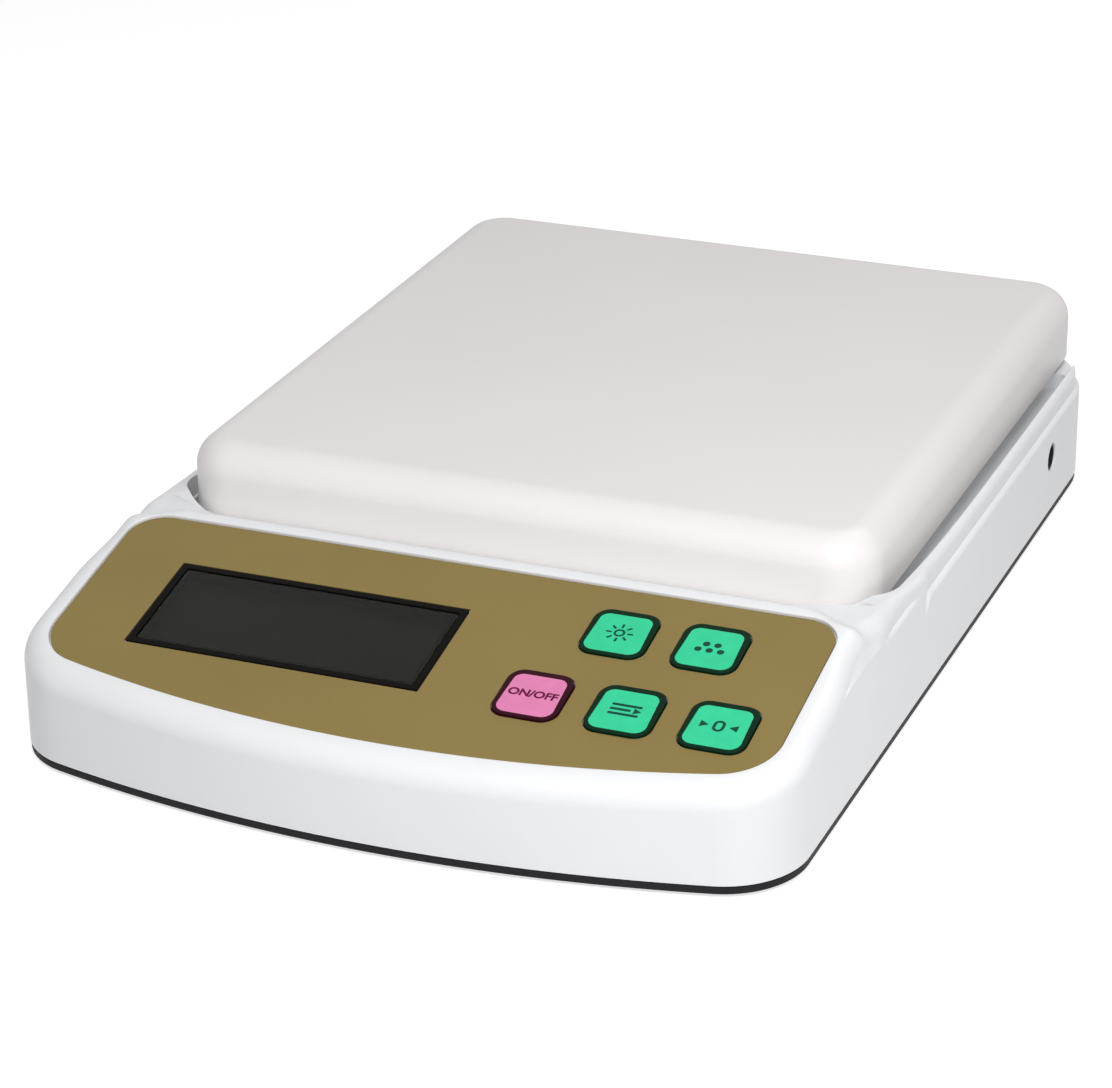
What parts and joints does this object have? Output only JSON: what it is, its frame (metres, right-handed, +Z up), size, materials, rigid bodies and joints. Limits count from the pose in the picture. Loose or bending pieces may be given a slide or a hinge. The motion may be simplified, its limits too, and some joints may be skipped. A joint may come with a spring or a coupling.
{
  "type": "counter scale",
  "caption": "Low electronic counter scale: square lift-off weighing platform behind a sloped console with a display window and press keys, battery door underneath, side power socket.",
  "frame": {"origin": "on the surface the feet stand on, under the middle of the case", "axes": "+Z up, -Y towards the user and the console, +X to the user's right"},
  "size_m": [0.17, 0.25, 0.0446],
  "materials": {
    "case_white": "satin moulded white",
    "platform_white": "satin moulded warm white",
    "tray_dark": "fine textured dark grey",
    "overlay_gold": "satin gold-brown printed sheet",
    "frame_black": "black",
    "window_tint": "dark tinted, clear",
    "lcd_glass": "grey-green display glass",
    "backlight_white": "milky diffuser",
    "connector_rubber": "pink elastomer",
    "board_green": "green solder mask",
    "blob_black": "black epoxy",
    "key_green": "mint green",
    "key_pink": "pink",
    "switch_black": "black",
    "plunger_ivory": "ivory",
    "cell_aluminium": "machined",
    "spreader_aluminium": "stamped sheet",
    "potting_white": "white silicone",
    "screw_steel": "zinc plated",
    "contact_nickel": "nickel plated",
    "battery_sleeve": "plain metallised sleeve",
    "jack_black": "black",
    "wire_red": "red insulation",
    "wire_black": "black insulation",
    "cable_grey": "grey jacket",
    "foot_rubber": "black rubber"
  },
  "bodies": {
    "case": {"upper_case": "case_white", "base_tray": "tray_dark", "load_cell": "cell_aluminium", "gauge_potting": "potting_white", "cell_bolt_fixed_1": "screw_steel", "cell_bolt_fixed_2": "screw_steel", "overload_stop": "screw_steel", "foot_front_left": "foot_rubber", "foot_front_right": "foot_rubber", "foot_rear_left": "foot_rubber", "foot_rear_right": "foot_rubber", "case_screw_front_left": "screw_steel", "case_screw_front_right": "screw_steel", "case_screw_rear_left": "screw_steel", "case_screw_rear_right": "screw_steel", "battery_front": "battery_sleeve", "battery_rear": "battery_sleeve", "contact_positive": "contact_nickel", "contact_negative": "contact_nickel", "contact_link": "contact_nickel", "power_jack": "jack_black", "lead_battery_positive": "wire_red", "lead_battery_negative": "wire_black", "cable_load_cell": "cable_grey", "lead_socket_positive": "wire_red", "lead_socket_negative": "wire_black", "control_overlay": "overlay_gold", "display_frame": "frame_black", "display_window": "window_tint", "lcd_glass": "lcd_glass", "backlight_panel": "backlight_white", "lcd_connector": "connector_rubber", "main_board": "board_green", "chip_blob": "blob_black", "board_screw_1": "screw_steel", "board_screw_2": "screw_steel", "board_screw_3": "screw_steel", "board_screw_4": "screw_steel", "switch_on_off": "switch_black", "switch_mode": "switch_black", "switch_tare": "switch_black", "switch_light": "switch_black", "switch_count": "switch_black"},
    "spreader": {"platform_spreader": "spreader_aluminium", "cell_bolt_free_1": "screw_steel", "cell_bolt_free_2": "screw_steel"},
    "platform": {"weighing_platform": "platform_white"},
    "on_off_key": {"key_on_off": "key_pink", "plunger_on_off": "plunger_ivory"},
    "mode_key": {"key_mode": "key_green", "plunger_mode": "plunger_ivory"},
    "tare_key": {"key_tare": "key_green", "plunger_tare": "plunger_ivory"},
    "light_key": {"key_light": "key_green", "plunger_light": "plunger_ivory"},
    "count_key": {"key_count": "key_green", "plunger_count": "plunger_ivory"},
    "door": {"battery_door": "tray_dark"}
  },
  "joints": [
    {"name": "load_deflection", "type": "slide", "parent": "case", "child": "spreader", "axis": [0, 0, -1], "range_m": [0, 0.00025], "stiffness_N_per_m": 60000},
    {"name": "platform_lift_off", "type": "slide", "parent": "spreader", "child": "platform", "axis": [0, 0, 1], "range_m": [0, 0.025]},
    {"name": "on_off_press", "type": "slide", "parent": "case", "child": "on_off_key", "axis": [0, 0.2055, -0.9787], "range_m": [0, 0.0004], "stiffness_N_per_m": 4000},
    {"name": "mode_press", "type": "slide", "parent": "case", "child": "mode_key", "axis": [0, 0.2055, -0.9787], "range_m": [0, 0.0004], "stiffness_N_per_m": 4000},
    {"name": "tare_press", "type": "slide", "parent": "case", "child": "tare_key", "axis": [0, 0.2055, -0.9787], "range_m": [0, 0.0004], "stiffness_N_per_m": 4000},
    {"name": "light_press", "type": "slide", "parent": "case", "child": "light_key", "axis": [0, 0.2055, -0.9787], "range_m": [0, 0.0004], "stiffness_N_per_m": 4000},
    {"name": "count_press", "type": "slide", "parent": "case", "child": "count_key", "axis": [0, 0.2055, -0.9787], "range_m": [0, 0.0004], "stiffness_N_per_m": 4000},
    {"name": "battery_door_hinge", "type": "hinge", "parent": "case", "child": "door", "pos_m": [0, -0.00985, 0.001], "axis": [1, 0, 0], "range_deg": [0, 75]}
  ]
}
